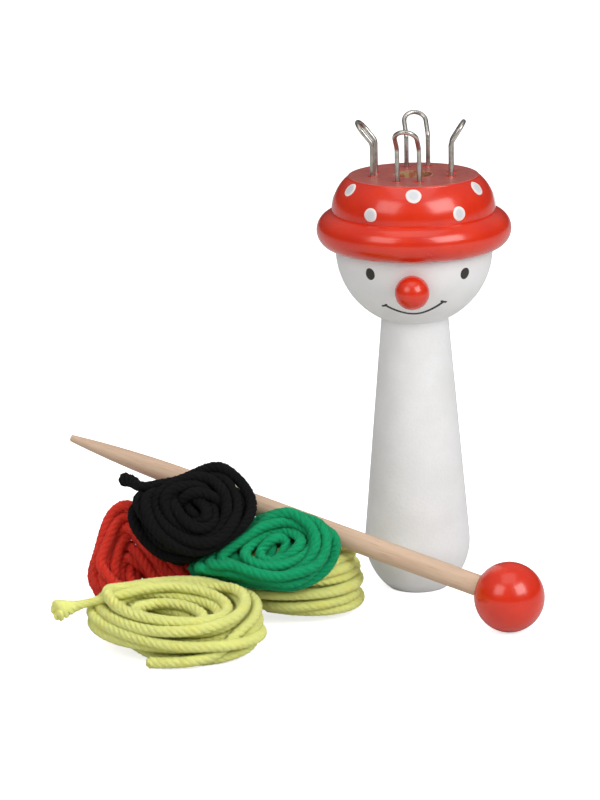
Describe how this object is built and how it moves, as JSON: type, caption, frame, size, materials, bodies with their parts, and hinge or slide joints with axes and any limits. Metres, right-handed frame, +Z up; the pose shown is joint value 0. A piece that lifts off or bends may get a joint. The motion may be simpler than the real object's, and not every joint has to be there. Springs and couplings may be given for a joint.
{
  "type": "spool knitter set",
  "caption": "Turned wooden doll for hand spool knitting, with wire hooks round a bore, a sharpened stick with a ball end, and loose hanks of yarn.",
  "frame": {"origin": "centre of the doll's foot, on the table, on the axis of the knitting bore", "axes": "+Z up along the knitting bore, -Y the way the doll's face looks, +X the way its left hand would point; the yarn lies towards -X and -Y"},
  "size_m": [0.1396, 0.1079, 0.1422],
  "materials": {
    "white_lacquer": "turned wood under matt white lacquer",
    "red_lacquer": "turned wood under gloss red lacquer",
    "steel_wire": "bright drawn steel wire",
    "bare_wood": "fine sanded beech, unfinished",
    "yellow_yarn": "plied yarn",
    "green_yarn": "plied yarn",
    "black_yarn": "plied yarn, fuzzy",
    "red_yarn": "plied yarn"
  },
  "bodies": {
    "doll": {"body": "white_lacquer", "head": "white_lacquer", "cap": "red_lacquer", "nose": "red_lacquer", "hook_front": "steel_wire", "hook_right": "steel_wire", "hook_back": "steel_wire", "hook_left": "steel_wire"},
    "yarn_pile": {"yarn_yellow_front": "yellow_yarn", "yarn_yellow_back": "yellow_yarn", "yarn_red": "red_yarn"},
    "green_hank": {"yarn_green": "green_yarn"},
    "black_hank": {"yarn_black": "black_yarn"},
    "needle": {"needle_stick": "bare_wood", "needle_ball": "red_lacquer"}
  },
  "joints": [
    {"name": "pile_lift", "type": "slide", "parent": "doll", "child": "yarn_pile", "axis": [-0.7071, 0, 0.7071], "range_m": [0, 0.15]},
    {"name": "green_lift", "type": "slide", "parent": "yarn_pile", "child": "green_hank", "axis": [0, 0, 1], "range_m": [0, 0.05]},
    {"name": "black_lift", "type": "slide", "parent": "green_hank", "child": "black_hank", "axis": [0, 0, 1], "range_m": [0, 0.05]},
    {"name": "needle_lift", "type": "slide", "parent": "black_hank", "child": "needle", "axis": [0, 0, 1], "range_m": [0, 0.08]}
  ]
}
